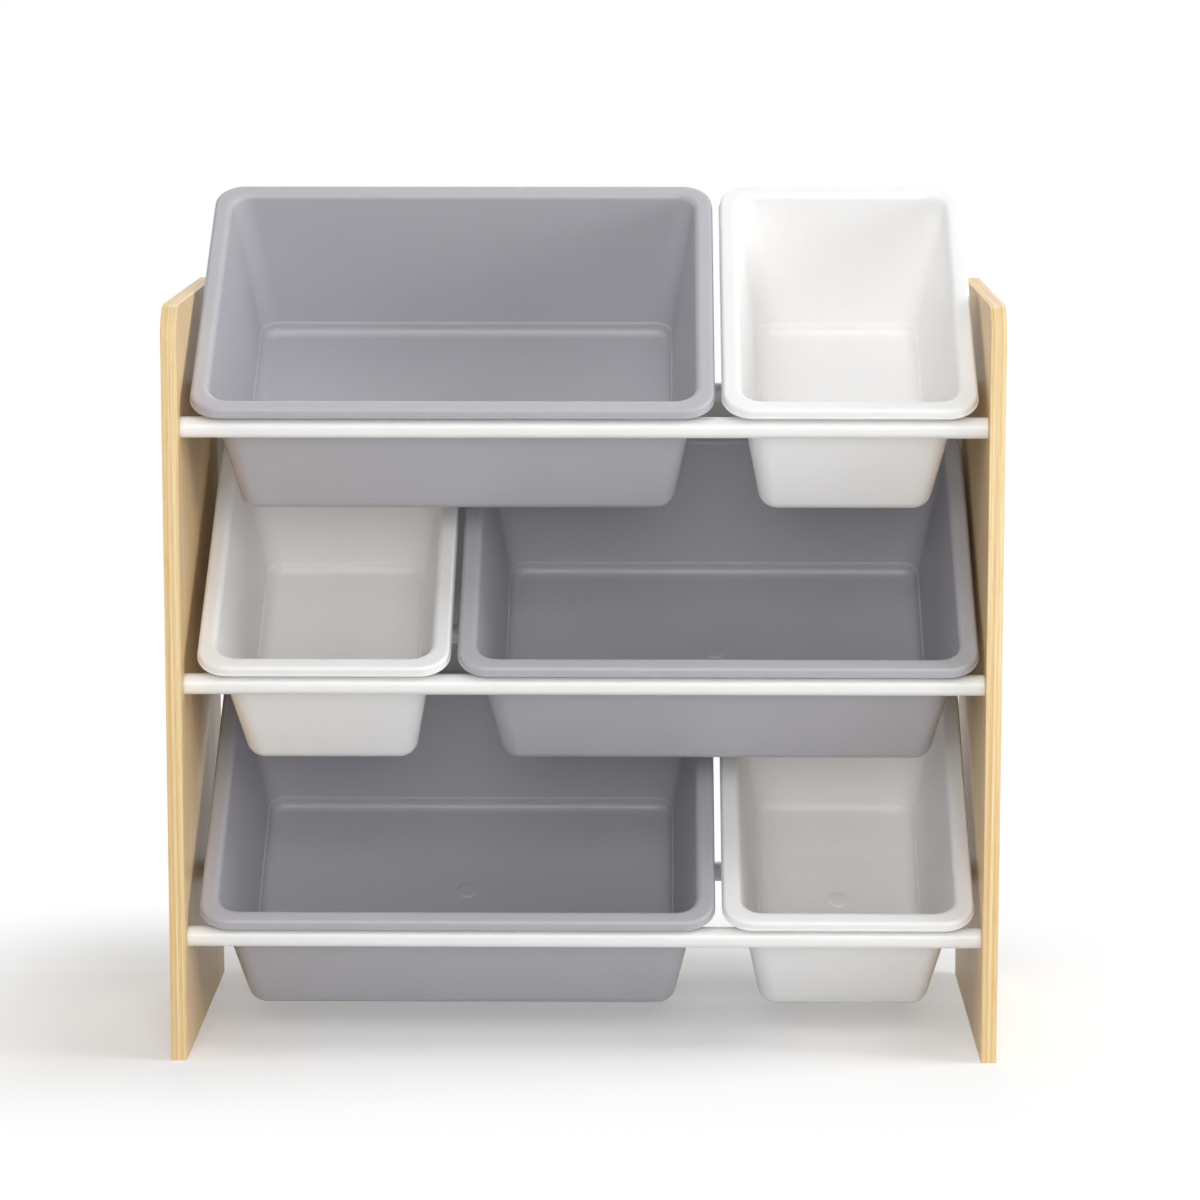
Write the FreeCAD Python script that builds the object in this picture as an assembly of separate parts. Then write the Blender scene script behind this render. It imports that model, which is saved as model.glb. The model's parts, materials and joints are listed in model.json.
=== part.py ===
import FreeCAD, Part
import math
import os

# Toy storage organizer: two wood-effect side panels, three pairs of steel rails, a thin
# back board and six moulded bins that lean on the rails and lift off them.
# Millimetres and degrees. X runs across, Y from front to back, Z up.
# The origin is on the floor, under the middle of the whole piece.

# Bins, over their rims
large_bin_width = 398.5
small_bin_width = 194.5
bin_length = 289.0
bin_height = 127.0

# Moulded form of every bin
wall_thickness = 2.0
floor_thickness = 2.2
wall_draft = 8.6
rim_overhang = 12.3
rim_depth = 7.6
rim_thickness = 2.0
rim_corner_radius = 24.0
rim_edge_radius = 2.6
rim_bead_width = 0.8
rim_bead_height = 1.6
mouth_radius = 5.0
under_rim_radius = 3.0
mouth_corner_radius = 18.0
foot_corner_radius = 15.0
foot_edge_radius = 13.0
floor_edge_radius = 8.0
ledge_width = 1.1
ledge_height = 9.5
gate_dimple_diameter = 14.0
gate_dimple_depth = 0.6

# How a bin lies on its two rails
front_rail_drop = 21.7
rear_seat_inset = 97.5
rear_rail_rise = 4.4
seat_clearance = 0.3

# Room round the bins
bin_gap = 5.0
bin_end_gap = 6.5
tier_gap = 39.0
floor_gap = 21.5
board_gap = 1.0
tier_shift = {"top": 0.0, "middle": 2.8, "bottom": 1.8}

# Side panels and their edge bands
panel_thickness = 12.0
panel_corner_radius = 25.0
panel_above_rail = 93.4
front_rail_inset = 23.4
band_thickness = 0.8

# Rails, and what holds them between the panels
rail_diameter = 16.0
rail_wall = 1.2
plug_length = 28.0
plug_clearance = 0.1
bolt_diameter = 6.0
bolt_reach = 18.0
bolt_clearance = 0.25
bolt_head_diameter = 12.0
bolt_head_edge = 0.4
socket_width = 4.0
socket_depth = 2.2
thread_clearance = 0.05

# Back board and its screws
board_thickness = 3.0
board_height = 250.0
board_top_drop = 6.0
board_side_inset = 2.0
screw_diameter = 3.0
screw_length = 16.0
screw_clearance = 0.25
screw_head_diameter = 7.0
screw_head_height = 1.8
screw_head_radius = 1.0
screw_edge_distance = 18.0
screws_per_side = 3

# A cutting tool starts this far outside what it cuts
overcut = 1.0

# The bins' draft, then their lean, worked out from where the rails meet them
draft = math.radians(wall_draft)
rail_radius = rail_diameter / 2
rail_stand_off = rail_radius + seat_clearance
front_rail_in = rim_overhang + front_rail_drop * math.tan(draft) - rail_stand_off / math.cos(draft)
rail_run = bin_length - rear_seat_inset - front_rail_in
rail_fall = bin_height + rail_stand_off - front_rail_drop
rail_distance = math.hypot(rail_run, rail_fall)
lean = math.atan2(rail_fall, rail_run) + math.asin(rear_rail_rise / rail_distance)
rear_rail_setback = rail_run * math.cos(lean) + rail_fall * math.sin(lean)

# Places seen from the side, from the front rail's axis to the bin's upper front edge
rim_back = -(front_rail_in * math.cos(lean) + front_rail_drop * math.sin(lean))
rim_up = front_rail_drop * math.cos(lean) - front_rail_in * math.sin(lean)
tier_pitch = (bin_height + tier_gap) / math.cos(lean)


def side_point(along, below):
    """Depth and height, from the front rail's axis, of a point in a bin's own side view."""
    back = rim_back + along * math.cos(lean) + below * math.sin(lean)
    up = rim_up + along * math.sin(lean) - below * math.cos(lean)
    return back, up


# The rounded foot edges are the bin's lowest and rearmost points
foot_inset = rim_overhang + (bin_height - foot_edge_radius) * math.tan(draft) + foot_edge_radius / math.cos(draft)
lowest_up = side_point(foot_inset, bin_height - foot_edge_radius)[1] - foot_edge_radius
rear_reach = side_point(bin_length - foot_inset, bin_height - foot_edge_radius)[0] + foot_edge_radius

bottom_rail_height = floor_gap - lowest_up
rail_heights = {
    "bottom": bottom_rail_height,
    "middle": bottom_rail_height + tier_pitch,
    "top": bottom_rail_height + 2 * tier_pitch,
}
bins_width = large_bin_width + bin_gap + small_bin_width
inner_width = bins_width + 2 * bin_end_gap
overall_width = inner_width + 2 * panel_thickness
panel_depth = front_rail_inset + rear_reach + board_gap
panel_height = rail_heights["top"] + panel_above_rail
overall_depth = panel_depth + board_thickness + screw_head_height

front_y = -overall_depth / 2
rear_y = front_y + panel_depth
front_rail_y = front_y + front_rail_inset
rear_rail_y = front_rail_y + rear_rail_setback

board_top = rail_heights["top"] + rear_rail_rise - board_top_drop
board_bottom = board_top - board_height


def rounded_outline(width, length, radius, height):
    """Closed wire of a rounded rectangle, level at a height, centred on the Z axis."""
    x = width / 2
    y = length / 2
    slant = radius * (1 - math.sqrt(0.5))
    corners = [(x, y, 1, 1), (-x, y, -1, 1), (-x, -y, -1, -1), (x, -y, 1, -1)]
    starts = []
    middles = []
    ends = []
    for cx, cy, sx, sy in corners:
        on_side = FreeCAD.Vector(cx, cy - sy * radius, height)
        on_end = FreeCAD.Vector(cx - sx * radius, cy, height)
        starts.append(on_side if sx == sy else on_end)
        ends.append(on_end if sx == sy else on_side)
        middles.append(FreeCAD.Vector(cx - sx * slant, cy - sy * slant, height))
    edges = []
    for i in range(4):
        edges.append(Part.Arc(starts[i], middles[i], ends[i]).toShape())
        edges.append(Part.LineSegment(ends[i], starts[(i + 1) % 4]).toShape())
    return Part.Wire(edges)


def rounded_block(width, length, radius, low, high):
    """Upright block with a rounded rectangle as its plan."""
    face = Part.Face(rounded_outline(width, length, radius, low))
    return face.extrude(FreeCAD.Vector(0, 0, high - low))


def drafted_block(width, length, inset, corner_high, corner_low, high, low):
    """Block whose walls lean in by the draft; inset is the wall's place at height 0."""
    wires = []
    for height, radius in ((high, corner_high), (low, corner_low)):
        shrink = 2 * (inset - height * math.tan(draft))
        wires.append(rounded_outline(width - shrink, length - shrink, radius, height))
    return Part.makeLoft(wires, True, True)


def edges_at(shape, height, half_width=None):
    """Edges lying at one height, and within a half width if one is given."""
    found = []
    for edge in shape.Edges:
        box = edge.BoundBox
        level = abs(box.ZMin - height) < 0.001 and abs(box.ZMax - height) < 0.001
        inside = half_width is None or max(abs(box.XMin), abs(box.XMax)) < half_width
        if level and inside:
            found.append(edge)
    return found


def moulded_bin(width):
    """A bin with its rim's top at height 0 and its length along Y."""
    length = bin_length
    plate_width = width - 2 * rim_bead_width
    plate_length = length - 2 * rim_bead_width
    plate = rounded_block(plate_width, plate_length, rim_corner_radius - rim_bead_width, -rim_depth, 0)
    plate = plate.makeFillet(rim_edge_radius, edges_at(plate, 0))
    skirt_inset = rim_bead_width + rim_thickness
    hollow = rounded_block(
        width - 2 * skirt_inset,
        length - 2 * skirt_inset,
        rim_corner_radius - skirt_inset,
        -rim_depth - overcut,
        -rim_thickness,
    )
    bead = rounded_block(width, length, rim_corner_radius, -rim_depth, -rim_depth + rim_bead_height)
    rim = plate.fuse(bead).cut(hollow)

    body = drafted_block(
        width, length, rim_overhang, mouth_corner_radius, foot_corner_radius, -rim_thickness / 2, -bin_height
    )
    body = body.makeFillet(foot_edge_radius, edges_at(body, -bin_height))
    shell = rim.fuse(body).removeSplitter()
    shell = shell.makeFillet(under_rim_radius, edges_at(shell, -rim_thickness, width / 2 - rim_overhang + overcut))

    floor_height = floor_thickness - bin_height
    ledge_level = floor_height + ledge_height
    inner_inset = rim_overhang + wall_thickness
    upper = drafted_block(
        width,
        length,
        inner_inset,
        mouth_corner_radius - wall_thickness,
        foot_corner_radius - wall_thickness,
        overcut,
        ledge_level,
    )
    lower = drafted_block(
        width,
        length,
        inner_inset + ledge_width,
        foot_corner_radius - wall_thickness - ledge_width,
        foot_corner_radius - wall_thickness - ledge_width,
        ledge_level + overcut,
        floor_height,
    )
    lower = lower.makeFillet(floor_edge_radius, edges_at(lower, floor_height))
    shell = shell.cut(upper).cut(lower)
    shell = shell.makeFillet(mouth_radius, edges_at(shell, 0, width / 2 - rim_overhang))

    dimple = Part.makeCylinder(
        gate_dimple_diameter / 2,
        gate_dimple_depth + overcut,
        FreeCAD.Vector(0, 0, floor_height - gate_dimple_depth),
    )
    return shell.cut(dimple)


def seated_bin(moulded, centre_x, tier):
    """A bin laid on its tier's rails, its length leaning up towards the back."""
    shape = moulded.copy()
    shape.translate(FreeCAD.Vector(0, bin_length / 2, 0))
    shape.rotate(FreeCAD.Vector(0, 0, 0), FreeCAD.Vector(1, 0, 0), math.degrees(lean))
    shape.translate(FreeCAD.Vector(centre_x, front_rail_y + rim_back, rail_heights[tier] + rim_up))
    return shape


def rail_points(tier):
    """Side-view places of a tier's front and rear rail axes."""
    height = rail_heights[tier]
    return {"front": (front_rail_y, height), "rear": (rear_rail_y, height + rear_rail_rise)}


def all_rail_points():
    points = []
    for tier in rail_heights:
        points.extend(rail_points(tier).values())
    return points


def along_x(radius, length, start_x, y, z):
    """Cylinder along +X."""
    return Part.makeCylinder(radius, length, FreeCAD.Vector(start_x, y, z), FreeCAD.Vector(1, 0, 0))


def rail(y, z):
    start = -inner_width / 2
    tube = along_x(rail_radius, inner_width, start, y, z)
    bore = along_x(rail_radius - rail_wall, inner_width + 2 * overcut, start - overcut, y, z)
    return tube.cut(bore)


def panel_outline(inset):
    """Side view of a panel at X = 0, drawn in by an inset except along the floor."""
    front = front_y + inset
    rear = rear_y - inset
    top = panel_height - inset
    radius = panel_corner_radius - inset
    slant = radius * (1 - math.sqrt(0.5))
    foot_front = FreeCAD.Vector(0, front, 0)
    foot_rear = FreeCAD.Vector(0, rear, 0)
    top_rear = FreeCAD.Vector(0, rear, top)
    arc_top = FreeCAD.Vector(0, front + radius, top)
    arc_middle = FreeCAD.Vector(0, front + slant, top - slant)
    arc_front = FreeCAD.Vector(0, front, top - radius)
    edges = [
        Part.LineSegment(foot_front, foot_rear).toShape(),
        Part.LineSegment(foot_rear, top_rear).toShape(),
        Part.LineSegment(top_rear, arc_top).toShape(),
        Part.Arc(arc_top, arc_middle, arc_front).toShape(),
        Part.LineSegment(arc_front, foot_front).toShape(),
    ]
    return Part.Face(Part.Wire(edges))


def bolt_solid(radius, head_radius, edge, y, z, reach):
    """Flat-head bolt pointing along +X with its head's outer face at X = 0."""
    cone_length = head_radius - radius
    head_rim = along_x(head_radius, edge, 0, y, z)
    cone = Part.makeCone(head_radius, radius, cone_length, FreeCAD.Vector(edge, y, z), FreeCAD.Vector(1, 0, 0))
    shank = along_x(radius, reach, 0, y, z)
    return head_rim.fuse([cone, shank])


def left_bolt(y, z):
    bolt = bolt_solid(
        bolt_diameter / 2, bolt_head_diameter / 2, bolt_head_edge, y, z, panel_thickness + bolt_reach
    )
    corner_radius = socket_width / math.sqrt(3)
    corners = []
    for i in range(7):
        angle = math.radians(60 * i)
        corners.append(FreeCAD.Vector(0, y + corner_radius * math.cos(angle), z + corner_radius * math.sin(angle)))
    socket = Part.Face(Part.makePolygon(corners)).extrude(FreeCAD.Vector(socket_depth, 0, 0))
    bolt = bolt.cut(socket).removeSplitter()
    bolt.translate(FreeCAD.Vector(-overall_width / 2, 0, 0))
    return bolt


def bolt_hole(y, z):
    """Countersunk clearance hole through the left panel."""
    hole = bolt_solid(
        bolt_diameter / 2 + bolt_clearance,
        bolt_head_diameter / 2 + bolt_clearance,
        bolt_head_edge,
        y,
        z,
        panel_thickness + overcut,
    )
    hole.translate(FreeCAD.Vector(-overall_width / 2, 0, 0))
    return hole


def left_plug(y, z):
    """Threaded plug in the left end of a rail."""
    start = -inner_width / 2
    plug = along_x(rail_radius - rail_wall - plug_clearance, plug_length, start, y, z)
    thread = along_x(bolt_diameter / 2 + thread_clearance, plug_length + 2 * overcut, start - overcut, y, z)
    return plug.cut(thread)


def screw_places():
    """X of the left panel's screws and their heights up the back board."""
    x = -(inner_width + panel_thickness) / 2
    spacing = (board_height - 2 * screw_edge_distance) / (screws_per_side - 1)
    first = board_bottom + screw_edge_distance
    return [(x, first + spacing * i) for i in range(screws_per_side)]


def from_back(radius, length, start_y, x, z):
    """Cylinder pointing forwards from the back."""
    return Part.makeCylinder(radius, length, FreeCAD.Vector(x, start_y, z), FreeCAD.Vector(0, -1, 0))


def left_screw(x, z):
    outer_y = rear_y + board_thickness
    head = from_back(screw_head_diameter / 2, screw_head_height, outer_y + screw_head_height, x, z)
    rim = [edge for edge in head.Edges if abs(edge.BoundBox.YMin - outer_y - screw_head_height) < 0.001]
    head = head.makeFillet(screw_head_radius, rim)
    shank = from_back(screw_diameter / 2, screw_length, outer_y, x, z)
    return head.fuse(shank)


def left_panel():
    side = FreeCAD.Vector(panel_thickness, 0, 0)
    core = panel_outline(band_thickness).extrude(side)
    whole = panel_outline(0).extrude(side)
    for shape in (core, whole):
        shape.translate(FreeCAD.Vector(-overall_width / 2, 0, 0))
    band = whole.cut(core)
    for y, z in all_rail_points():
        core = core.cut(bolt_hole(y, z))
    for x, z in screw_places():
        depth = screw_length - board_thickness + overcut
        pilot = from_back(screw_diameter / 2 + thread_clearance, depth, rear_y, x, z)
        core = core.cut(pilot)
        band = band.cut(pilot)
    return core, band


def back_board():
    width = overall_width - 2 * board_side_inset
    board = Part.makeBox(width, board_thickness, board_height, FreeCAD.Vector(-width / 2, rear_y, board_bottom))
    for x, z in screw_places():
        for side_x in (x, -x):
            hole_start = rear_y + board_thickness + overcut
            hole_length = board_thickness + 2 * overcut
            hole = from_back(screw_diameter / 2 + screw_clearance, hole_length, hole_start, side_x, z)
            board = board.cut(hole)
    return board


def mirrored(shape):
    return shape.mirror(FreeCAD.Vector(0, 0, 0), FreeCAD.Vector(1, 0, 0))


def build_parts():
    core, band = left_panel()
    bolts = Part.makeCompound([left_bolt(y, z) for y, z in all_rail_points()])
    plugs = Part.makeCompound([left_plug(y, z) for y, z in all_rail_points()])
    screws = [left_screw(x, z) for x, z in screw_places()]
    parts = {
        "left_side_panel": core,
        "right_side_panel": mirrored(core),
        "left_edge_band": band,
        "right_edge_band": mirrored(band),
        "rail_bolts_left": bolts,
        "rail_bolts_right": mirrored(bolts),
        "rail_plugs_left": plugs,
        "rail_plugs_right": mirrored(plugs),
        "back_board": back_board(),
        "back_board_screws": Part.makeCompound(screws + [mirrored(screw) for screw in screws]),
    }
    for tier in rail_heights:
        for place, (y, z) in rail_points(tier).items():
            parts[f"{place}_rail_{tier}"] = rail(y, z)
    widths = {"small": small_bin_width, "large": large_bin_width}
    moulded = {size: moulded_bin(width) for size, width in widths.items()}
    for tier in rail_heights:
        left_edge = tier_shift[tier] - bins_width / 2
        for size in ("small", "large") if tier == "middle" else ("large", "small"):
            parts[f"{size}_bin_{tier}"] = seated_bin(moulded[size], left_edge + widths[size] / 2, tier)
            left_edge = left_edge + widths[size] + bin_gap
    return parts


os.makedirs("parts", exist_ok=True)
print(f"lean {math.degrees(lean):.2f} degrees, tiers {tier_pitch:.1f} mm apart")
print(f"panels {panel_depth:.1f} deep and {panel_height:.1f} high, {overall_width:.1f} over both")
for node, shape in build_parts().items():
    print(f"{node}: {len(shape.Solids)} solids, {shape.Volume / 1000:.1f} cm3, valid {shape.isValid()}")
    shape.exportStep(f"parts/{node}.step")
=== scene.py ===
import json
import math

import bmesh
import bpy
from mathutils import Matrix, Vector

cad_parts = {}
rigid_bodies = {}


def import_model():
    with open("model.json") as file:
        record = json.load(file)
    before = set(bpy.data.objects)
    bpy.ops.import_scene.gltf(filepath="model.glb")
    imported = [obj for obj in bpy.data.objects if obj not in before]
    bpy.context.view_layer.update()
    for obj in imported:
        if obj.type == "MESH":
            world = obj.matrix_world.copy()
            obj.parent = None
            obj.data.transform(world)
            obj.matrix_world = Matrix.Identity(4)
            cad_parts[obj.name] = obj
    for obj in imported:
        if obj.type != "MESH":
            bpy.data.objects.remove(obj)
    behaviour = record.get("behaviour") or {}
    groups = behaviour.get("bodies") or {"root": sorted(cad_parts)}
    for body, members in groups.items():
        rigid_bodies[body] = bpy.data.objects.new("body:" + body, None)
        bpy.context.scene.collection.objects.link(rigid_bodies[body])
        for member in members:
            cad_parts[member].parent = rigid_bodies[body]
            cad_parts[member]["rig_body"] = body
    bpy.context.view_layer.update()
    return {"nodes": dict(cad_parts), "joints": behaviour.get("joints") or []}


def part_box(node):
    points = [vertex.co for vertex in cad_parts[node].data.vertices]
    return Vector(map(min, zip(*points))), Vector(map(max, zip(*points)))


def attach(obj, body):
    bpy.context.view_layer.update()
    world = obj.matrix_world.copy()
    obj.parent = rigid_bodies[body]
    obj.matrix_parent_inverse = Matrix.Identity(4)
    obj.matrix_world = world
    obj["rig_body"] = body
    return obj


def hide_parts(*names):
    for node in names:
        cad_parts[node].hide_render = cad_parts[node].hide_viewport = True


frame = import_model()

# Toy storage organizer: two maple-look side boards, three pairs of white rails and six moulded bins.
# Lengths in the dictionaries are millimetres, as on a drawing; the scene is in metres.
mm = 0.001
creaseAngle = math.radians(42)      # sharper edges than this stay hard
nodes = frame["nodes"]


def linearColour(hexValue):
    # sRGB hex as the linear colour that a shader takes
    shares = [int(hexValue[i:i + 2], 16) / 255 for i in (1, 3, 5)]
    return [s / 12.92 if s <= 0.04045 else ((s + 0.055) / 1.055) ** 2.4 for s in shares] + [1.0]


def addNode(tree, kind, settings=None, links=None):
    # settings go to the node's options or to its sockets, links come from other nodes' outputs
    node = tree.nodes.new(kind)
    for key, value in (settings or {}).items():
        if isinstance(key, str) and hasattr(node, key):
            setattr(node, key, value)
        else:
            node.inputs[key].default_value = value
    for key, source in (links or {}).items():
        tree.links.new(source, node.inputs[key])
    return node


def newFinish(name):
    # an empty material with its node tree
    material = bpy.data.materials.new(name)
    material.use_nodes = True
    material.node_tree.nodes.clear()
    return material, material.node_tree


def closeFinish(tree, shader):
    addNode(tree, "ShaderNodeOutputMaterial", links={"Surface": shader})


def perMetre(millimetres):
    # noise scale that gives a feature of this size
    return 1 / (millimetres * mm)


def bandsPerMetre(millimetres):
    # wave scale that sets the bands this far apart: the node multiplies it by 20 before it takes the sine
    return 2 * math.pi / (20 * millimetres * mm)


# finishes
print("stage: finishes")

binPlastic = {
    "grey": "#b6b5bb",
    "white": "#fcf9f7",
    "tone": 0.035,          # how far the colour drifts along the flow
    "flowSize": 55.0,       # slow drift of pigment in the moulding
    "grainSize": 0.9,       # eroded mould texture, really 0.2 mm, drawn coarser so that it shows
    "grainHeight": 0.006,
    "waveSize": 70.0,       # slight sink and warp of thin walls
    "waveHeight": 0.10,
    "gloss": (0.34, 0.46),
    "greyScatter": 0.0,     # the grey pigment lets no light through
    "whiteScatter": 1.0,    # the white takes light in and gives it back softly
    "scatterDepth": 2.0,
    "scatterTint": (1.0, 0.95, 0.9),
}


def mouldedPolypropylene(name, colour, scatter):
    # injection-moulded polypropylene: a waxy half-gloss with soft edges to its highlights
    material, tree = newFinish(name)
    place = addNode(tree, "ShaderNodeAttribute", {"attribute_name": "mouldPlace"})
    flow = addNode(tree, "ShaderNodeTexNoise", {
        "Scale": perMetre(binPlastic["flowSize"]), "Detail": 3.0, "Roughness": 0.55, "Distortion": 0.6,
    }, {"Vector": place.outputs["Vector"]})
    base = linearColour(colour)
    dark = [c * (1 - binPlastic["tone"]) for c in base[:3]] + [1.0]
    light = [min(1.0, c * (1 + binPlastic["tone"])) for c in base[:3]] + [1.0]
    tone = addNode(tree, "ShaderNodeMix", {"data_type": "RGBA", 6: dark, 7: light},
                   {0: flow.outputs["Fac"]})
    grain = addNode(tree, "ShaderNodeTexNoise", {
        "Scale": perMetre(binPlastic["grainSize"]), "Detail": 2.0, "Roughness": 0.6,
    }, {"Vector": place.outputs["Vector"]})
    wave = addNode(tree, "ShaderNodeTexNoise", {
        "Scale": perMetre(binPlastic["waveSize"]), "Detail": 1.0,
    }, {"Vector": place.outputs["Vector"]})
    warp = addNode(tree, "ShaderNodeBump", {
        "Strength": 1.0, "Distance": binPlastic["waveHeight"] * mm,
    }, {"Height": wave.outputs["Fac"]})
    texture = addNode(tree, "ShaderNodeBump", {
        "Strength": 1.0, "Distance": binPlastic["grainHeight"] * mm,
    }, {"Height": grain.outputs["Fac"], "Normal": warp.outputs["Normal"]})
    low, high = binPlastic["gloss"]
    rough = addNode(tree, "ShaderNodeMapRange", {"To Min": low, "To Max": high},
                    {"Value": flow.outputs["Fac"]})
    shader = addNode(tree, "ShaderNodeBsdfPrincipled", {
        "IOR": 1.49, "Subsurface Weight": scatter, "Subsurface Scale": binPlastic["scatterDepth"] * mm,
        "Subsurface Radius": binPlastic["scatterTint"],
    }, {"Base Color": tone.outputs[2], "Roughness": rough.outputs[0], "Normal": texture.outputs["Normal"]})
    closeFinish(tree, shader.outputs[0])
    return material


boardFoil = {
    "pale": "#f4daab",
    "deep": "#e6c08a",
    "figure": "#c39861",
    "fibreWidth": 0.9,      # across the grain
    "fibreLength": 45.0,    # along the grain
    "bandWidth": 26.0,      # plank-like drift of tone
    "bandLength": 420.0,
    "figureSpacing": 11.1855,   # cathedral lines
    "figureBend": 9.0,
    "figureRange": (0.55, 1.0),
    "figureShare": 0.45,
    "fibreRange": (0.42, 0.76),
    "fibreShare": 0.45,
    "poreDepth": 0.03,
    "gloss": (0.34, 0.44),
    "sheen": 0.2,           # a matt foil mirrors less than bare plastic would
    "core": "#c9a878",
    "coreShade": 0.55,      # the darkest chips, as a share of the core's colour
    "coreChip": 2.2,        # chips of the board's core, seen at the foot
    "coreRoughness": 0.9,
    "faceLimit": 0.9,       # a side counts as a face from this much of its normal across the board
}


def mapleMelamineBoard():
    # melamine-faced chipboard printed as maple: pale yellow with fine upright grain under a smooth clear face
    material, tree = newFinish("mapleMelamineBoard")
    place = addNode(tree, "ShaderNodeTexCoord")
    stretch = boardFoil["fibreWidth"] / boardFoil["fibreLength"]
    along = addNode(tree, "ShaderNodeMapping", {"Scale": (1.0, 1.0, stretch)},
                    {"Vector": place.outputs["Object"]})
    fibre = addNode(tree, "ShaderNodeTexNoise", {
        "Scale": perMetre(boardFoil["fibreWidth"] * 2), "Detail": 4.0, "Roughness": 0.65,
    }, {"Vector": along.outputs[0]})
    drift = addNode(tree, "ShaderNodeMapping", {
        "Scale": (1.0, 1.0, boardFoil["bandWidth"] / boardFoil["bandLength"]),
    }, {"Vector": place.outputs["Object"]})
    band = addNode(tree, "ShaderNodeTexNoise", {
        "Scale": perMetre(boardFoil["bandWidth"] * 2), "Detail": 2.0, "Distortion": 0.4,
    }, {"Vector": drift.outputs[0]})
    figure = addNode(tree, "ShaderNodeTexWave", {
        "wave_type": "BANDS", "bands_direction": "Y", "wave_profile": "SAW",
        "Scale": bandsPerMetre(boardFoil["figureSpacing"]), "Distortion": boardFoil["figureBend"],
        "Detail": 2.0, "Detail Scale": 0.35, "Detail Roughness": 0.45,
    }, {"Vector": drift.outputs[0]})
    tone = addNode(tree, "ShaderNodeMix", {
        "data_type": "RGBA", 6: linearColour(boardFoil["pale"]), 7: linearColour(boardFoil["deep"]),
    }, {0: band.outputs["Fac"]})
    low, high = boardFoil["figureRange"]
    lineShare = addNode(tree, "ShaderNodeMapRange", {
        "From Min": low, "From Max": high, "To Max": boardFoil["figureShare"],
    }, {"Value": figure.outputs["Fac"]})
    lined = addNode(tree, "ShaderNodeMix", {
        "data_type": "RGBA", 7: linearColour(boardFoil["figure"]),
    }, {0: lineShare.outputs[0], 6: tone.outputs[2]})
    low, high = boardFoil["fibreRange"]
    fibreShare = addNode(tree, "ShaderNodeMapRange", {
        "From Min": low, "From Max": high, "To Max": boardFoil["fibreShare"],
    }, {"Value": fibre.outputs["Fac"]})
    grained = addNode(tree, "ShaderNodeMix", {
        "data_type": "RGBA", 7: linearColour(boardFoil["figure"]),
    }, {0: fibreShare.outputs[0], 6: lined.outputs[2]})
    # the core shows only where the board is cut: at its foot and in its holes
    chips = addNode(tree, "ShaderNodeTexVoronoi", {"Scale": perMetre(boardFoil["coreChip"])},
                    {"Vector": place.outputs["Object"]})
    coreBase = linearColour(boardFoil["core"])
    core = addNode(tree, "ShaderNodeMix", {
        "data_type": "RGBA", 6: [c * boardFoil["coreShade"] for c in coreBase[:3]] + [1.0], 7: coreBase,
    }, {0: chips.outputs["Color"]})
    facing = addNode(tree, "ShaderNodeSeparateXYZ", links={"Vector": place.outputs["Normal"]})
    across = addNode(tree, "ShaderNodeMath", {"operation": "ABSOLUTE"}, {0: facing.outputs["X"]})
    isFace = addNode(tree, "ShaderNodeMath", {"operation": "GREATER_THAN", 1: boardFoil["faceLimit"]},
                     {0: across.outputs[0]})
    colour = addNode(tree, "ShaderNodeMix", {"data_type": "RGBA"},
                     {0: isFace.outputs[0], 6: core.outputs[2], 7: grained.outputs[2]})
    low, high = boardFoil["gloss"]
    faceGloss = addNode(tree, "ShaderNodeMapRange", {"To Min": low, "To Max": high},
                        {"Value": fibre.outputs["Fac"]})
    rough = addNode(tree, "ShaderNodeMix", {"data_type": "FLOAT", 2: boardFoil["coreRoughness"]},
                    {0: isFace.outputs[0], 3: faceGloss.outputs[0]})
    pores = addNode(tree, "ShaderNodeBump", {
        "Strength": 1.0, "Distance": boardFoil["poreDepth"] * mm, "invert": True,
    }, {"Height": fibre.outputs["Fac"]})
    shader = addNode(tree, "ShaderNodeBsdfPrincipled", {
        "IOR": 1.5, "Specular IOR Level": boardFoil["sheen"],
    }, {"Base Color": colour.outputs[2], "Roughness": rough.outputs[0], "Normal": pores.outputs["Normal"]})
    closeFinish(tree, shader.outputs[0])
    return material


edgeStrip = {
    "pale": "#f6dfae",
    "deep": "#e2be85",
    "line": "#cca269",
    "stripeWidth": 1.1,     # straight grain lines across the 12 mm edge
    "stripeLength": 260.0,
    "fibreWidth": 0.5,
    "fibreLength": 18.0,
    "stripeRange": (0.35, 0.65),
    "fibreRange": (0.5, 0.75),
    "fibreShare": 0.6,
    "reliefDepth": 0.01,
    "gloss": (0.36, 0.48),
    "sheen": 0.3,
}


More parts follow.
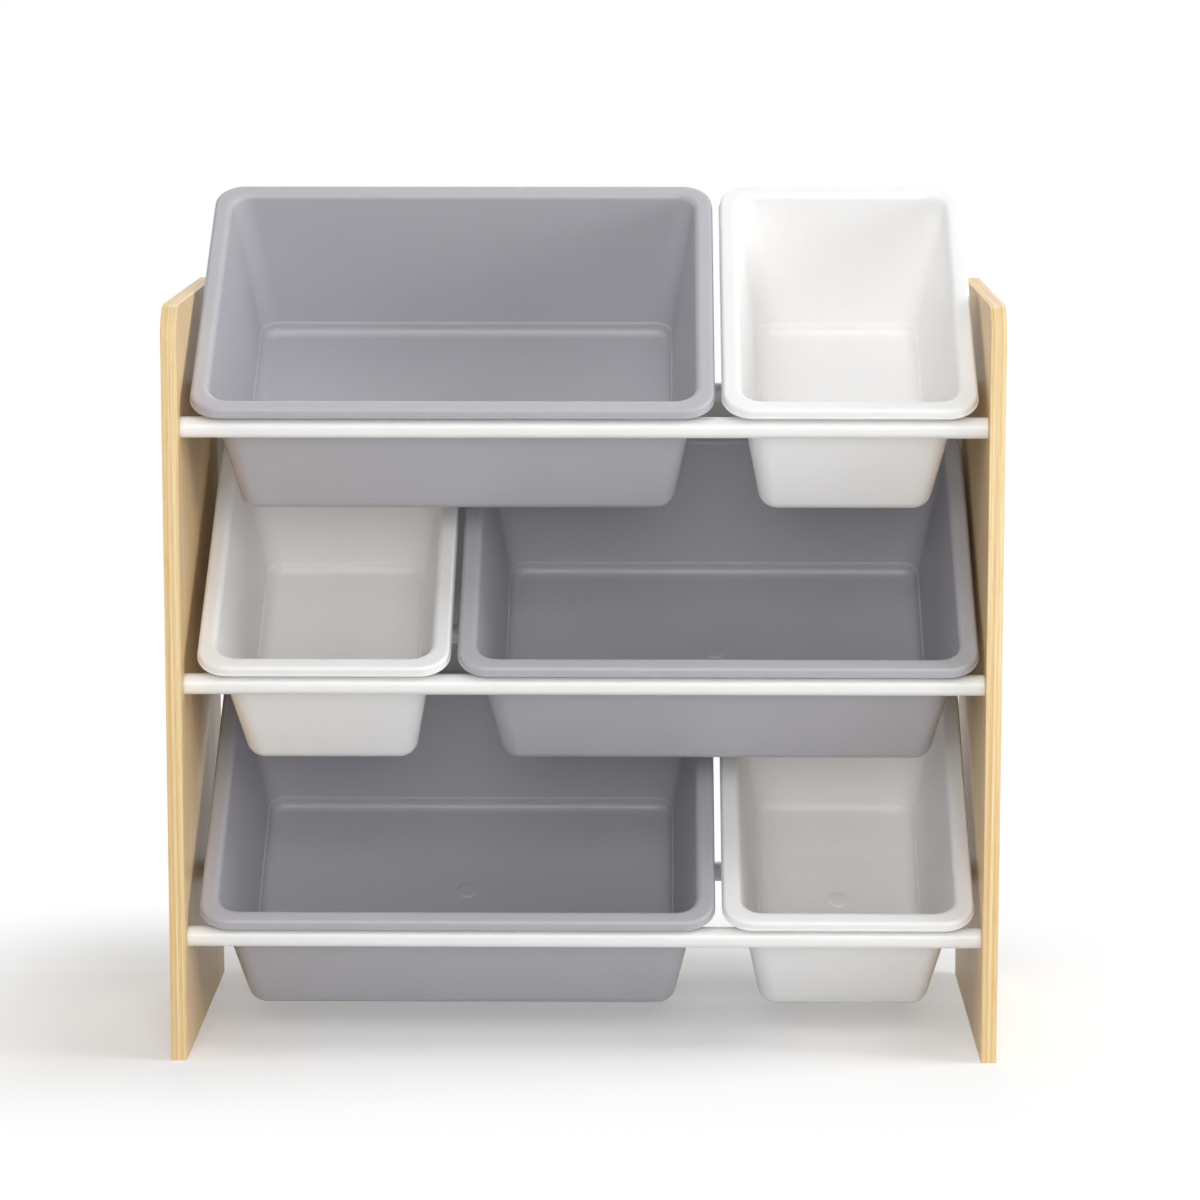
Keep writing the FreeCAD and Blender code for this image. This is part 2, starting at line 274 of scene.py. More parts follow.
def printedEdgeBand():
    # maple-printed plastic edge band, ironed on: yellower than the faces, straight lines along its length
    material, tree = newFinish("printedEdgeBand")
    place = addNode(tree, "ShaderNodeAttribute", {"attribute_name": "stripPlace"})
    stripeMap = addNode(tree, "ShaderNodeMapping", {
        "Scale": (1.0, edgeStrip["stripeWidth"] / edgeStrip["stripeLength"], 1.0),
    }, {"Vector": place.outputs["Vector"]})
    stripe = addNode(tree, "ShaderNodeTexNoise", {
        "Scale": perMetre(edgeStrip["stripeWidth"] * 2), "Detail": 2.0, "Roughness": 0.5,
    }, {"Vector": stripeMap.outputs[0]})
    fibreMap = addNode(tree, "ShaderNodeMapping", {
        "Scale": (1.0, edgeStrip["fibreWidth"] / edgeStrip["fibreLength"], 1.0),
    }, {"Vector": place.outputs["Vector"]})
    fibre = addNode(tree, "ShaderNodeTexNoise", {
        "Scale": perMetre(edgeStrip["fibreWidth"] * 2), "Detail": 3.0, "Roughness": 0.7,
    }, {"Vector": fibreMap.outputs[0]})
    low, high = edgeStrip["stripeRange"]
    stripeShare = addNode(tree, "ShaderNodeMapRange", {"From Min": low, "From Max": high},
                          {"Value": stripe.outputs["Fac"]})
    tone = addNode(tree, "ShaderNodeMix", {
        "data_type": "RGBA", 6: linearColour(edgeStrip["pale"]), 7: linearColour(edgeStrip["deep"]),
    }, {0: stripeShare.outputs[0]})
    low, high = edgeStrip["fibreRange"]
    fibreShare = addNode(tree, "ShaderNodeMapRange", {
        "From Min": low, "From Max": high, "To Max": edgeStrip["fibreShare"],
    }, {"Value": fibre.outputs["Fac"]})
    colour = addNode(tree, "ShaderNodeMix", {"data_type": "RGBA", 7: linearColour(edgeStrip["line"])},
                     {0: fibreShare.outputs[0], 6: tone.outputs[2]})
    low, high = edgeStrip["gloss"]
    rough = addNode(tree, "ShaderNodeMapRange", {"To Min": low, "To Max": high},
                    {"Value": fibre.outputs["Fac"]})
    relief = addNode(tree, "ShaderNodeBump", {
        "Strength": 1.0, "Distance": edgeStrip["reliefDepth"] * mm, "invert": True,
    }, {"Height": fibre.outputs["Fac"]})
    shader = addNode(tree, "ShaderNodeBsdfPrincipled", {
        "IOR": 1.52, "Specular IOR Level": edgeStrip["sheen"],
    }, {"Base Color": colour.outputs[2], "Roughness": rough.outputs[0], "Normal": relief.outputs["Normal"]})
    closeFinish(tree, shader.outputs[0])
    return material


railCoat = {
    "colour": "#f9f9f8",
    "shade": "#f1f1ef",
    "peelSize": 1.6,        # orange peel of baked powder
    "peelHeight": 0.004,
    "driftSize": 30.0,      # slow drift of the coat's thickness
    "gloss": (0.26, 0.34),
}


def powderCoatedSteel():
    # white epoxy powder baked on steel tube: clean half-gloss with a faint orange peel
    material, tree = newFinish("powderCoatedSteel")
    place = addNode(tree, "ShaderNodeTexCoord")
    peel = addNode(tree, "ShaderNodeTexNoise", {"Scale": perMetre(railCoat["peelSize"]), "Detail": 1.0},
                   {"Vector": place.outputs["Object"]})
    drift = addNode(tree, "ShaderNodeTexNoise", {"Scale": perMetre(railCoat["driftSize"]), "Detail": 2.0},
                    {"Vector": place.outputs["Object"]})
    tone = addNode(tree, "ShaderNodeMix", {
        "data_type": "RGBA", 6: linearColour(railCoat["shade"]), 7: linearColour(railCoat["colour"]),
    }, {0: drift.outputs["Fac"]})
    low, high = railCoat["gloss"]
    rough = addNode(tree, "ShaderNodeMapRange", {"To Min": low, "To Max": high},
                    {"Value": drift.outputs["Fac"]})
    relief = addNode(tree, "ShaderNodeBump", {"Strength": 1.0, "Distance": railCoat["peelHeight"] * mm},
                     {"Height": peel.outputs["Fac"]})
    shader = addNode(tree, "ShaderNodeBsdfPrincipled", {"IOR": 1.52}, {
        "Base Color": tone.outputs[2], "Roughness": rough.outputs[0], "Normal": relief.outputs["Normal"],
    })
    closeFinish(tree, shader.outputs[0])
    return material


backSheet = {
    "face": "#eeefe9",
    "raw": "#a3825c",
    "rawDark": "#7f6040",
    "fibreSize": 1.4,
    "screenPitch": 1.3,     # wire-screen print pressed into the raw side
    "screenUnevenness": 0.15,
    "faceShade": 0.96,      # the paint's darkest places, as a share of its colour
    "faceRoughness": 0.42,
    "rawRoughness": 0.85,
    "reliefDepth": 0.05,
}


def whiteFacedHardboard():
    # hardboard painted white in front; the raw side keeps the brown fibre and the print of the press screen
    material, tree = newFinish("whiteFacedHardboard")
    place = addNode(tree, "ShaderNodeTexCoord")
    fibre = addNode(tree, "ShaderNodeTexNoise", {
        "Scale": perMetre(backSheet["fibreSize"] * 2), "Detail": 5.0, "Roughness": 0.7, "Distortion": 1.2,
    }, {"Vector": place.outputs["Object"]})
    screen = addNode(tree, "ShaderNodeTexVoronoi", {
        "Scale": perMetre(backSheet["screenPitch"]), "Randomness": backSheet["screenUnevenness"],
    }, {"Vector": place.outputs["Object"]})
    raw = addNode(tree, "ShaderNodeMix", {
        "data_type": "RGBA", 6: linearColour(backSheet["rawDark"]), 7: linearColour(backSheet["raw"]),
    }, {0: fibre.outputs["Fac"]})
    face = linearColour(backSheet["face"])
    painted = addNode(tree, "ShaderNodeMix", {
        "data_type": "RGBA", 6: [c * backSheet["faceShade"] for c in face[:3]] + [1.0], 7: face,
    }, {0: fibre.outputs["Fac"]})
    facing = addNode(tree, "ShaderNodeSeparateXYZ", links={"Vector": place.outputs["Normal"]})
    isFace = addNode(tree, "ShaderNodeMath", {"operation": "LESS_THAN", 1: -0.5}, {0: facing.outputs["Y"]})
    colour = addNode(tree, "ShaderNodeMix", {"data_type": "RGBA"},
                     {0: isFace.outputs[0], 6: raw.outputs[2], 7: painted.outputs[2]})
    rough = addNode(tree, "ShaderNodeMix", {
        "data_type": "FLOAT", 2: backSheet["rawRoughness"], 3: backSheet["faceRoughness"],
    }, {0: isFace.outputs[0]})
    height = addNode(tree, "ShaderNodeMix", {"data_type": "FLOAT"},
                     {0: isFace.outputs[0], 2: screen.outputs["Distance"], 3: fibre.outputs["Fac"]})
    relief = addNode(tree, "ShaderNodeBump", {"Strength": 1.0, "Distance": backSheet["reliefDepth"] * mm},
                     {"Height": height.outputs[0]})
    shader = addNode(tree, "ShaderNodeBsdfPrincipled", {"IOR": 1.5}, {
        "Base Color": colour.outputs[2], "Roughness": rough.outputs[0], "Normal": relief.outputs["Normal"],
    })
    closeFinish(tree, shader.outputs[0])
    return material


fixingMetal = {
    "colour": "#c9ccd0",
    "bluish": "#aeb6c2",
    "patch": 2.5,
    "gloss": (0.26, 0.42),
    "reliefDepth": 0.01,
}


def zincPlatedSteel():
    # bright zinc plate on cold-headed steel: silver with a faint blue cast and small cloudy patches
    material, tree = newFinish("zincPlatedSteel")
    place = addNode(tree, "ShaderNodeTexCoord")
    cloud = addNode(tree, "ShaderNodeTexNoise", {"Scale": perMetre(fixingMetal["patch"]), "Detail": 3.0},
                    {"Vector": place.outputs["Object"]})
    tone = addNode(tree, "ShaderNodeMix", {
        "data_type": "RGBA", 6: linearColour(fixingMetal["colour"]), 7: linearColour(fixingMetal["bluish"]),
    }, {0: cloud.outputs["Fac"]})
    low, high = fixingMetal["gloss"]
    rough = addNode(tree, "ShaderNodeMapRange", {"To Min": low, "To Max": high},
                    {"Value": cloud.outputs["Fac"]})
    relief = addNode(tree, "ShaderNodeBump", {"Strength": 1.0, "Distance": fixingMetal["reliefDepth"] * mm},
                     {"Height": cloud.outputs["Fac"]})
    shader = addNode(tree, "ShaderNodeBsdfPrincipled", {"Metallic": 1.0}, {
        "Base Color": tone.outputs[2], "Roughness": rough.outputs[0], "Normal": relief.outputs["Normal"],
    })
    closeFinish(tree, shader.outputs[0])
    return material


plugPlastic = {
    "colour": "#e6e3da",
    "shade": "#d8d4c8",
    "patch": 3.0,
    "roughness": 0.5,
    "reliefDepth": 0.01,
}


def mouldedNylon():
    # natural nylon: milky, slightly yellow, dull from the mould
    material, tree = newFinish("mouldedNylon")
    place = addNode(tree, "ShaderNodeTexCoord")
    cloud = addNode(tree, "ShaderNodeTexNoise", {"Scale": perMetre(plugPlastic["patch"]), "Detail": 2.0},
                    {"Vector": place.outputs["Object"]})
    tone = addNode(tree, "ShaderNodeMix", {
        "data_type": "RGBA", 6: linearColour(plugPlastic["shade"]), 7: linearColour(plugPlastic["colour"]),
    }, {0: cloud.outputs["Fac"]})
    relief = addNode(tree, "ShaderNodeBump", {"Strength": 1.0, "Distance": plugPlastic["reliefDepth"] * mm},
                     {"Height": cloud.outputs["Fac"]})
    shader = addNode(tree, "ShaderNodeBsdfPrincipled", {"IOR": 1.53, "Roughness": plugPlastic["roughness"]},
                     {"Base Color": tone.outputs[2], "Normal": relief.outputs["Normal"]})
    closeFinish(tree, shader.outputs[0])
    return material


greyPlastic = mouldedPolypropylene(
    "mouldedPolypropyleneGrey", binPlastic["grey"], binPlastic["greyScatter"])
whitePlastic = mouldedPolypropylene(
    "mouldedPolypropyleneWhite", binPlastic["white"], binPlastic["whiteScatter"])
boardFinish = mapleMelamineBoard()
stripFinish = printedEdgeBand()
railFinish = powderCoatedSteel()
backFinish = whiteFacedHardboard()
metalFinish = zincPlatedSteel()
plugFinish = mouldedNylon()


def addPiece(name, points, faces, finish, stands):
    # a smooth mesh in the row's frame that stands for one CAD node and rides where that node rides
    mesh = bpy.data.meshes.new(name)
    mesh.from_pydata([tuple(p) for p in points], [], faces)
    shape = bmesh.new()
    shape.from_mesh(mesh)
    bmesh.ops.recalc_face_normals(shape, faces=shape.faces)
    shape.to_mesh(mesh)
    shape.free()
    mesh.polygons.foreach_set("use_smooth", [True] * len(mesh.polygons))
    mesh.set_sharp_from_angle(angle=creaseAngle)
    mesh.materials.append(finish)
    piece = bpy.data.objects.new(name, mesh)
    bpy.context.scene.collection.objects.link(piece)
    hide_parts(stands)
    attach(piece, nodes[stands]["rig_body"])
    return piece


def storePlaces(piece, attributeName, places):
    # each point's place in the piece's own frame, for patterns that follow the making and not the room
    attribute = piece.data.attributes.new(attributeName, "FLOAT_VECTOR", "POINT")
    attribute.data.foreach_set("vector", [c for p in places for c in p])


# bins
print("stage: bins")

binForm = {
    "length": 289.0,
    "height": 127.0,
    "wall": 2.0,
    "floor": 2.2,
    "draft": 8.6,
    "rimOverhang": 12.3,
    "rimDepth": 7.6,
    "rimThickness": 2.0,
    "rimCorner": 24.0,
    "rimEdge": 2.6,
    "beadWidth": 0.8,
    "beadHeight": 1.6,
    "mouthRoll": 5.0,
    "underRim": 3.0,
    "mouthCorner": 18.0,
    "footCorner": 15.0,
    "footRounding": 13.0,
    "floorRounding": 8.0,
    "ledgeWidth": 1.1,
    "ledgeHeight": 9.5,
    "softening": 0.3,       # broken edges of bead and ledge
    "edgeBulge": 0.3,       # the middle point of a broken edge, as a share of its softening
    "beadBulge": 0.2,
    "gateDiameter": 17.0,
    "gateRise": 1.2,
    "gateSetBack": {"large": 14.0, "small": 4.0},
    # shares of the boss's radius and rise, from its foot to its flat top
    "gateProfile": ((1.0, 0.05), (0.93, 0.4), (0.85, 0.8), (0.75, 1.0), (0.3, 1.0)),
    "gateMargin": 1.05,     # the flat floor ends on a ring this much wider than the boss
    "floorShares": (0.35, 0.7),     # rings on the way from the floor's edge to the boss
    "footSteps": 9,
    "underRimSteps": 5,
    "rimEdgeSteps": 6,
    "mouthSteps": 8,
    "floorSteps": 8,
    "cornerSteps": 14,
    "supportGap": 1.6,      # extra lines beside curves keep the flats flat
    "leastCorner": 0.6,
}


def arcPoints(centre, radius, startAngle, endAngle, steps):
    # section points (inset, depth) round a centre, angles in degrees from the outward direction
    points = []
    for i in range(steps + 1):
        angle = math.radians(startAngle + (endAngle - startAngle) * i / steps)
        points.append((centre[0] - radius * math.cos(angle), centre[1] + radius * math.sin(angle)))
    return points


def binSections(form):
    # rings as (inset from the rim's outside, depth below its top, plan corner), from under the floor
    # out to the wall, over the rim and down inside to the floor
    draft = form["draft"]
    slope = math.tan(math.radians(draft))
    lean = math.cos(math.radians(draft))
    gap = form["supportGap"]
    soft = form["softening"]

    def outer(depth):
        return form["rimOverhang"] + depth * slope

    def inner(depth):
        return outer(depth) + form["wall"]

    def corner(depth):
        return form["mouthCorner"] + (form["footCorner"] - form["mouthCorner"]) * depth / form["height"]

    rings = []

    def add(points, startInset, startCorner):
        # concentric corners: the plan corner shrinks as the inset grows
        for inset, depth in points:
            rings.append((inset, depth, max(form["leastCorner"], startCorner - (inset - startInset))))

    def addWall(depths, insetAt, offset):
        for depth in depths:
            rings.append((insetAt(depth), depth, corner(depth) - offset))

    foot = form["footRounding"]
    footCentre = (outer(form["height"] - foot) + foot / lean, form["height"] - foot)
    footArc = arcPoints(footCentre, foot, 90, draft, form["footSteps"])
    flat = [(footCentre[0] + 3 * gap, form["height"]), (footCentre[0] + gap, form["height"])]
    wallEnd = footArc[-1]
    add(flat + footArc, wallEnd[0], corner(wallEnd[1]))

    under = form["underRim"]
    underCentre = (outer(form["rimThickness"] + under) - under / lean, form["rimThickness"] + under)
    underArc = arcPoints(underCentre, under, 180 + draft, 270, form["underRimSteps"])
    addWall([wallEnd[1] - gap, form["height"] / 2, underArc[0][1] + gap], outer, 0)
    add(underArc, underArc[0][0], corner(underArc[0][1]))

    bead = form["beadWidth"]
    skirt = bead + form["rimThickness"]
    rimFoot = form["rimDepth"]
    beadTop = rimFoot - form["beadHeight"]
    edge = form["rimEdge"]
    bulge = soft * form["edgeBulge"]
    rim = [(skirt + gap, form["rimThickness"]), (skirt + soft, form["rimThickness"])]
    rim += [(skirt, form["rimThickness"] + soft), (skirt, rimFoot - soft), (skirt - soft, rimFoot)]
    rim += [(soft, rimFoot), (bulge, rimFoot - bulge), (0, rimFoot - soft)]
    rim += [(0, beadTop + soft), (bulge, beadTop + bulge), (soft, beadTop)]
    rim += [(bead - bulge, beadTop - soft * form["beadBulge"]), (bead, beadTop - soft), (bead, edge + soft)]
    rim += arcPoints((bead + edge, edge), edge, 0, -90, form["rimEdgeSteps"])
    rim += [(bead + edge + gap / 2, 0)]
    add(rim, 0, form["rimCorner"])

    mouth = form["mouthRoll"]
    mouthCentre = (inner(mouth) - mouth / lean, mouth)
    mouthArc = arcPoints(mouthCentre, mouth, 270, 180 + draft, form["mouthSteps"])
    mouthEnd = mouthArc[-1]
    add([(mouthCentre[0] - gap / 2, 0)] + mouthArc, mouthEnd[0], corner(mouthEnd[1]) - form["wall"])

    floorLevel = form["height"] - form["floor"]
    ledge = floorLevel - form["ledgeHeight"]
    addWall([mouthEnd[1] + gap, ledge / 2, ledge - gap], inner, form["wall"])
    insideCorner = form["wall"] + form["ledgeWidth"]
    step = [(inner(ledge - soft), ledge - soft), (inner(ledge) + soft, ledge)]
    step += [(inner(ledge) + form["ledgeWidth"] - soft, ledge)]
    step += [(inner(ledge) + form["ledgeWidth"], ledge + soft)]
    add(step, step[0][0], corner(ledge) - form["wall"])
    rounding = form["floorRounding"]
    floorDepth = floorLevel - rounding
    floorCentre = (inner(floorDepth) + form["ledgeWidth"] + rounding / lean, floorDepth)
    floorArc = arcPoints(floorCentre, rounding, draft, 90, form["floorSteps"])
    add(floorArc + [(floorCentre[0] + gap, floorLevel)], floorArc[0][0], form["footCorner"] - insideCorner)
    return rings, floorLevel


def ringPoints(width, length, inset, corner, form):
    # plan of one ring, counter-clockwise, with extra points beside each corner
    halfX = width / 2 - inset
    halfY = length / 2 - inset
    steps = form["cornerSteps"]
    gap = form["supportGap"]
    points = []
    for turn, (signX, signY) in enumerate([(1, 1), (-1, 1), (-1, -1), (1, -1)]):
        centreX = signX * (halfX - corner)
        centreY = signY * (halfY - corner)
        arc = []
        for i in range(steps + 1):
            angle = math.radians(90 * turn + 90 * i / steps)
            arc.append((centreX + corner * math.cos(angle), centreY + corner * math.sin(angle)))
        leadIn = math.radians(90 * turn - 90)
        leadOut = math.radians(90 * turn + 180)
        first = (arc[0][0] + gap * math.cos(leadIn), arc[0][1] + gap * math.sin(leadIn))
        last = (arc[-1][0] + gap * math.cos(leadOut), arc[-1][1] + gap * math.sin(leadOut))
        points += [first] + arc + [last]
    return points


def mouldedBin(name, finish):
    # one closed skin of rings, from under the floor over the rim to the boss inside
    low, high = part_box(name)
    width = (high.x - low.x) / mm
    form = binForm
    rings, floorLevel = binSections(form)
    loops = [[(x, y, -depth) for x, y in ringPoints(width, form["length"], inset, corner, form)]
             for inset, depth, corner in rings]
    # the flat floor closes in on the low round boss that the gate leaves behind it
    outline = loops[-1]
    gate = form["gateDiameter"] / 2
    count = len(outline)
    turns = [2 * math.pi * (i + 0.5) / count for i in range(count)]
    rounds = [(math.cos(t), math.sin(t)) for t in turns]
    back = form["gateSetBack"][name.split("_")[0]]
    reach = gate * form["gateMargin"]
    gateRim = [(reach * c, back + reach * s) for c, s in rounds]
    for share in form["floorShares"]:
        loops.append([(x + (gx - x) * share, y + (gy - y) * share, -floorLevel)
                      for (x, y, z), (gx, gy) in zip(outline, gateRim)])
    loops.append([(x, y, -floorLevel) for x, y in gateRim])
    for radius, rise in form["gateProfile"]:
        level = rise * form["gateRise"] - floorLevel
        loops.append([(gate * radius * c, back + gate * radius * s, level) for c, s in rounds])
    local = [Vector(p) * mm for loop in loops for p in loop]
    faces = [list(range(count))[::-1], [len(local) - count + i for i in range(count)]]
    for ring in range(len(loops) - 1):
        for i in range(count):
            a = ring * count + i
            b = ring * count + (i + 1) % count
            faces.append([a, b, b + count, a + count])
    # lean it as its lift slides, then centre it on the CAD bin
    up = Vector(next(j["axis"] for j in frame["joints"] if j["child"] == nodes[name]["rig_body"]))
    turn = Matrix.Rotation(math.atan2(-up.y, up.z), 3, "X")
    placed = [turn @ p for p in local]
    centre = Vector((min(p[i] for p in placed) + max(p[i] for p in placed)) / 2 for i in range(3))
    shift = (low + high) / 2 - centre
    piece = addPiece(name + "_moulding", [p + shift for p in placed], faces, finish, name)
    storePlaces(piece, "mouldPlace", local)


for tier in ("top", "middle", "bottom"):
    mouldedBin("large_bin_" + tier, greyPlastic)
    mouldedBin("small_bin_" + tier, whitePlastic)


# edge bands
print("stage: edge bands")

stripForm = {
    "thickness": 0.8,
    "rounding": 0.6,
    "roundingSteps": 4,
    "panelCorner": 25.0,
    "cornerSteps": 16,
    "supportGap": 2.0,
}


def bandOutline(front, rear, top, inset):
    # side view of the board's edge from the front foot over the top to the rear foot
    corner = stripForm["panelCorner"]
    steps = stripForm["cornerSteps"]
    gap = stripForm["supportGap"]
    points = [(front + inset, 0.0), (front + inset, gap), (front + inset, top - corner - gap)]
    for i in range(steps + 1):
        angle = math.pi - math.pi / 2 * i / steps
        points.append((front + corner + (corner - inset) * math.cos(angle),
                       top - corner + (corner - inset) * math.sin(angle)))
    points += [(front + corner + gap, top - inset), (rear - gap, top - inset), (rear - inset, top - inset)]
    points += [(rear - inset, top - gap), (rear - inset, gap), (rear - inset, 0.0)]
    return points


def bevelledBand(name):
    # the strip's section, rounded at its outer edges, carried along the board's outline
    low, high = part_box(name)
    left, right = low.x / mm, high.x / mm
    front, rear, top = low.y / mm, high.y / mm, high.z / mm
    thickness, rounding, steps = stripForm["thickness"], stripForm["rounding"], stripForm["roundingSteps"]
    angles = [math.pi / 2 * i / steps for i in range(steps + 1)]
    bevel = [(rounding - rounding * math.cos(a), rounding - rounding * math.sin(a)) for a in angles]
    section = [(left, thickness)] + [(left + x, inset) for x, inset in bevel]
    section += [(right - x, inset) for x, inset in reversed(bevel)] + [(right, thickness)]
    spine = bandOutline(front, rear, top, 0)
    run = [0.0]
    for a, b in zip(spine, spine[1:]):
        run.append(run[-1] + math.hypot(b[0] - a[0], b[1] - a[1]))
    points, places = [], []
    for x, inset in section:
        for (y, z), distance in zip(bandOutline(front, rear, top, inset), run):
            points.append(Vector((x, y, z)) * mm)
            places.append(Vector((x, distance, inset)) * mm)
    count = len(spine)
    sides = len(section)
    faces = [[j * count for j in range(sides)], [j * count + count - 1 for j in range(sides)][::-1]]
    for j in range(sides):
        following = (j + 1) % sides
        for i in range(count - 1):
            faces.append([j * count + i, j * count + i + 1, following * count + i + 1, following * count + i])
    piece = addPiece(name + "_strip", points, faces, stripFinish, name)
    storePlaces(piece, "stripPlace", places)


for side in ("left", "right"):
    bevelledBand(side + "_edge_band")


# screws of the back board
print("stage: screws")

screwForm = {
    "headDiameter": 7.0,
    "headHeight": 1.8,
    "shankDiameter": 3.0,
    "length": 16.0,
    "slotLength": 4.2,      # cross recess, tip to tip
    "slotWidth": 0.9,
    "slotDepth": 1.1,
    "domeFall": 0.75,       # how far the head falls away to its edge, as a share of its height
    "domePower": 4,
    "turnBetween": 37,      # degrees: each one stops at its own angle
    "turnSteps": 48,
    "rings": 14,
}


def panHeadScrews(name):
    # one piece of pan-head screws with cross recesses, pointing forwards from the back
    low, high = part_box(name)
    form = screwForm
    radius = form["headDiameter"] / 2
    shank = form["shankDiameter"] / 2
    count = form["turnSteps"]
    around = [(math.cos(2 * math.pi * i / count), math.sin(2 * math.pi * i / count)) for i in range(count)]
    columns = (low.x / mm + radius, high.x / mm - radius)
    bottom, top = low.z / mm + radius, high.z / mm - radius
    rows = (bottom, (bottom + top) / 2, top)
    back = high.y / mm
    points, faces = [], []
    for spin, (x, z) in enumerate((x, z) for x in columns for z in rows):
        turn = math.radians(form["turnBetween"] * spin)
        loops = []
        for r in range(1, form["rings"] + 1):
            reach = radius * r / form["rings"]
            dome = form["headHeight"] * (1 - form["domeFall"] * (reach / radius) ** form["domePower"])
            loop = []
            for c, s in around:
                a, b = reach * c, reach * s
                narrow, wide = sorted((abs(a), abs(b)))
                recess = narrow < form["slotWidth"] / 2 and wide < form["slotLength"] / 2
                loop.append((a, b, dome - (form["slotDepth"] if recess else 0)))
            loops.append(loop)
        for reach, level in ((radius, 0.0), (shank, 0.0), (shank, form["headHeight"] - form["length"])):
            loops.append([(reach * c, reach * s, level) for c, s in around])
        start = len(points)
        for loop in loops:
            for a, b, level in loop:
                across = a * math.cos(turn) - b * math.sin(turn)
                upward = a * math.sin(turn) + b * math.cos(turn)
                points.append(Vector((x + across, back - form["headHeight"] + level, z + upward)) * mm)
        last = start + (len(loops) - 1) * count
        faces += [[start + i for i in range(count)][::-1], [last + i for i in range(count)]]
        for j in range(len(loops) - 1):
            for i in range(count):
                a = start + j * count + i
                b = start + j * count + (i + 1) % count
                faces.append([a, b, b + count, a + count])
    addPiece(name + "_recessed", points, faces, metalFinish, name)


panHeadScrews("back_board_screws")

# pieces whose CAD shape is right
print("stage: finishes on the kept pieces")
keptFinishes = {
    "side_panel": boardFinish,
    "rail_top": railFinish,
    "rail_middle": railFinish,
    "rail_bottom": railFinish,
    "rail_plugs": plugFinish,
    "rail_bolts": metalFinish,
}
for nodeName, node in nodes.items():
    for part, finish in keptFinishes.items():
        if part in nodeName:
            for slot in node.material_slots:
                slot.material = finish
for slot in nodes["back_board"].material_slots:
    slot.material = backFinish

# studio
print("stage: studio")

studio = {
    "floorSize": 60.0,          # metres
    "floorDrop": 0.0002,        # metres below the object's feet
    "floorColour": "#f0f0f0",
    "floorGlow": 0.22,          # only what the camera sees: lifts the lit floor to white
    "shadowCentre": (-0.07, 0.02, 0.0),   # metres; round this patch the sweep turns plain white
    "shadowHalf": (0.31, 0.15, 0.0),
    "shadowFade": 0.25,
    "backdrop": 1.0,
    "ambientColour": "#ffffff",
    "ambient": 0.0,             # the lamps alone light the object
    "lamps": {                  # place, size in metres and power in watts
        "frontLowSoftbox": ((0.0, -3.8, 0.9), 2.0, 32.0),
        "frontHighSoftbox": ((0.0, -3.5, 1.8), 2.0, 43.0),
        "topSoftbox": ((0.0, -0.3, 2.8), 2.2, 19.0),
        "rightSoftbox": ((2.4, -0.2, 1.5), 1.4, 33.0),
        "rightLowSoftbox": ((2.6, -1.2, 0.7), 1.4, 21.0),
        "leftSoftbox": ((-2.4, -0.4, 1.4), 1.4, 11.0),
        "backSoftbox": ((0.0, 2.2, 2.4), 1.4, 18.0),
    },
    "aim": (0.0, 0.0, 0.35),
}


def seenRay(tree):
    # 1 for what the camera, a gloss or clear material sees, 0 for light that spreads
    path = addNode(tree, "ShaderNodeLightPath")
    seen = addNode(tree, "ShaderNodeMath", {"operation": "MAXIMUM"},
                   {0: path.outputs["Is Camera Ray"], 1: path.outputs["Is Glossy Ray"]})
    return addNode(tree, "ShaderNodeMath", {"operation": "MAXIMUM"},
                   {0: seen.outputs[0], 1: path.outputs["Is Transmission Ray"]}).outputs[0]


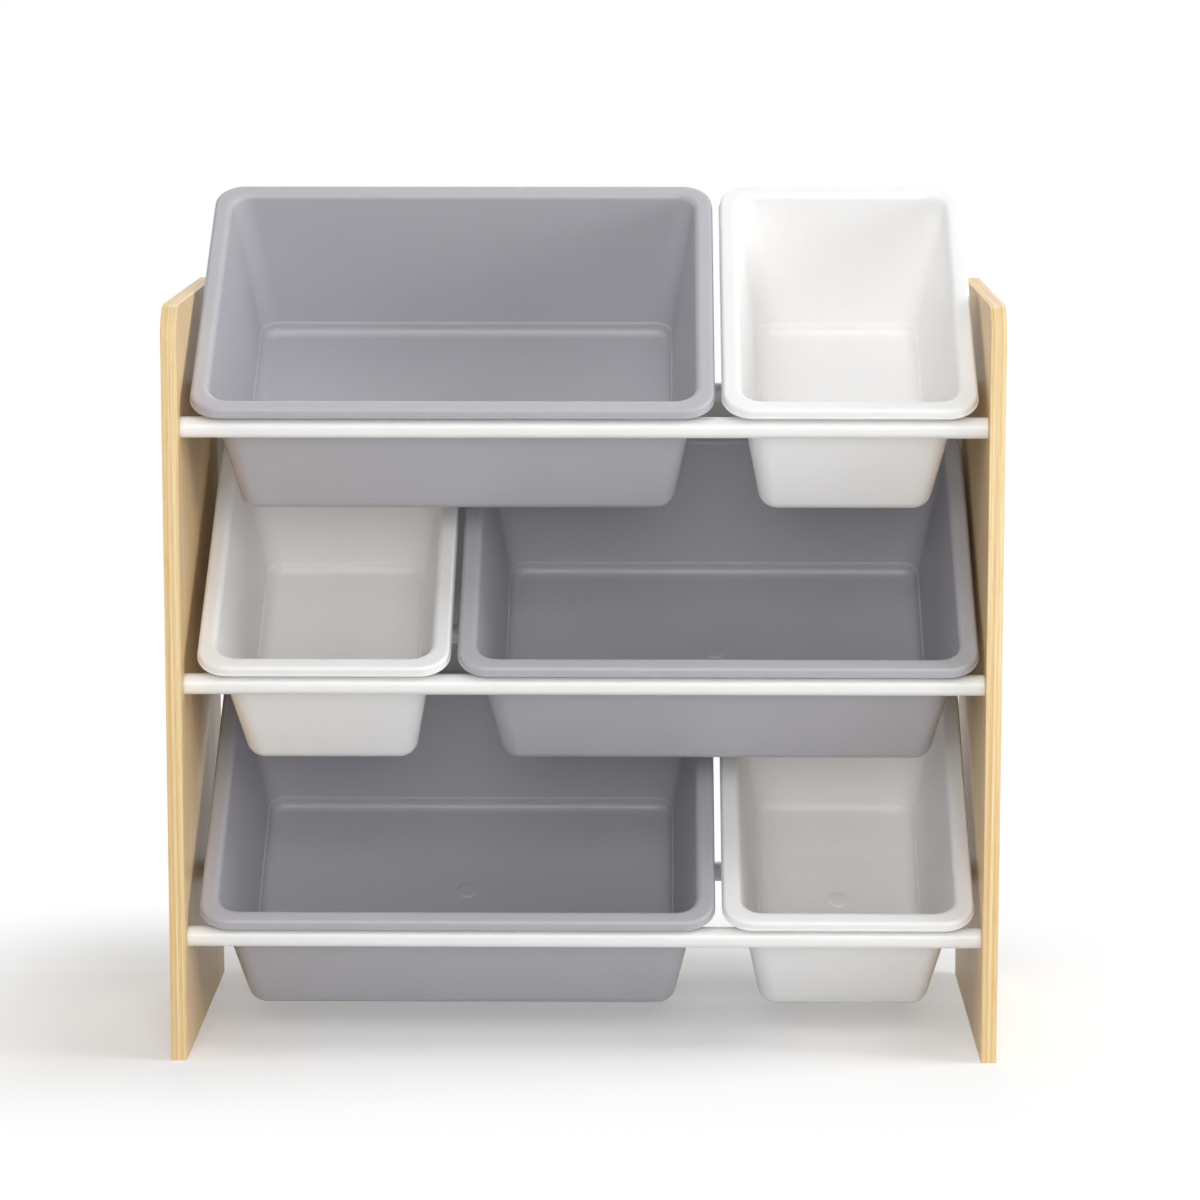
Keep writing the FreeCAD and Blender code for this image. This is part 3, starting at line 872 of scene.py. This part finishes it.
def studioFloor():
    # matt white paper sweep
    material, tree = newFinish("mattPaperFloor")
    matt = addNode(tree, "ShaderNodeBsdfDiffuse", {"Color": linearColour(studio["floorColour"])})
    white = linearColour("#ffffff")
    glow = addNode(tree, "ShaderNodeEmission", {"Color": white, "Strength": studio["floorGlow"]})
    lifted = addNode(tree, "ShaderNodeAddShader", links={0: matt.outputs[0], 1: glow.outputs[0]})
    # away from the object the sweep is plain white, as the paper behind it
    place = addNode(tree, "ShaderNodeTexCoord")
    offset = addNode(tree, "ShaderNodeVectorMath", {"operation": "SUBTRACT", 1: studio["shadowCentre"]},
                     {0: place.outputs["Object"]})
    spread = addNode(tree, "ShaderNodeVectorMath", {"operation": "ABSOLUTE"}, {0: offset.outputs[0]})
    outside = addNode(tree, "ShaderNodeVectorMath", {"operation": "SUBTRACT", 1: studio["shadowHalf"]},
                      {0: spread.outputs[0]})
    beyond = addNode(tree, "ShaderNodeVectorMath", {"operation": "MAXIMUM", 1: (0.0, 0.0, 0.0)},
                     {0: outside.outputs[0]})
    distance = addNode(tree, "ShaderNodeVectorMath", {"operation": "LENGTH"}, {0: beyond.outputs[0]})
    away = addNode(tree, "ShaderNodeMapRange", {
        "interpolation_type": "SMOOTHSTEP", "From Min": 0.0, "From Max": studio["shadowFade"],
    }, {"Value": distance.outputs["Value"]})
    plain = addNode(tree, "ShaderNodeEmission", {"Color": white, "Strength": studio["backdrop"]})
    sweep = addNode(tree, "ShaderNodeMixShader", links={
        0: away.outputs[0], 1: lifted.outputs[0], 2: plain.outputs[0],
    })
    shown = addNode(tree, "ShaderNodeMixShader", links={
        0: seenRay(tree), 1: matt.outputs[0], 2: sweep.outputs[0],
    })
    closeFinish(tree, shown.outputs[0])
    half = studio["floorSize"] / 2
    mesh = bpy.data.meshes.new("floor")
    corners = [(-half, -half, 0), (half, -half, 0), (half, half, 0), (-half, half, 0)]
    mesh.from_pydata(corners, [], [(0, 1, 2, 3)])
    mesh.materials.append(material)
    floor = bpy.data.objects.new("floor", mesh)
    floor.location.z = -studio["floorDrop"]
    bpy.context.scene.collection.objects.link(floor)


def softLight(name, place, size, power):
    # a square softbox turned to the middle of the object
    lamp = bpy.data.lights.new(name, "AREA")
    lamp.shape = "SQUARE"
    lamp.size = size
    lamp.energy = power
    lampObject = bpy.data.objects.new(name, lamp)
    lampObject.location = place
    aim = Vector(studio["aim"]) - Vector(place)
    lampObject.rotation_euler = aim.to_track_quat("-Z", "Y").to_euler()
    bpy.context.scene.collection.objects.link(lampObject)


def studioWorld():
    # plain white where it is seen, no light of its own on the object
    world = bpy.data.worlds.new("paleRoom")
    world.use_nodes = True
    tree = world.node_tree
    tree.nodes.clear()
    fill = addNode(tree, "ShaderNodeBackground", {
        "Color": linearColour(studio["ambientColour"]), "Strength": studio["ambient"],
    })
    backdrop = addNode(tree, "ShaderNodeBackground", {
        "Color": linearColour("#ffffff"), "Strength": studio["backdrop"],
    })
    shown = addNode(tree, "ShaderNodeMixShader", links={
        0: seenRay(tree), 1: fill.outputs[0], 2: backdrop.outputs[0],
    })
    addNode(tree, "ShaderNodeOutputWorld", links={"Surface": shown.outputs[0]})
    bpy.context.scene.world = world


studioFloor()
studioWorld()
for lampName, (place, size, power) in studio["lamps"].items():
    softLight(lampName, place, size, power)

# camera
print("stage: camera")
viewpoint = {
    "place": (0.0549, -3.3189, 0.8468),
    "pitch": 8.735,         # degrees below level
    "turn": 0.762,          # degrees to the left
    "lens": 127.3,
    "sensor": 36.0,
}
camera = bpy.data.cameras.new("camera")
camera.lens = viewpoint["lens"]
camera.sensor_width = viewpoint["sensor"]
cameraObject = bpy.data.objects.new("camera", camera)
cameraObject.location = viewpoint["place"]
cameraObject.rotation_euler = (math.radians(90 - viewpoint["pitch"]), 0, math.radians(viewpoint["turn"]))
bpy.context.scene.collection.objects.link(cameraObject)
bpy.context.scene.camera = cameraObject
bpy.context.scene.view_settings.view_transform = "Standard"
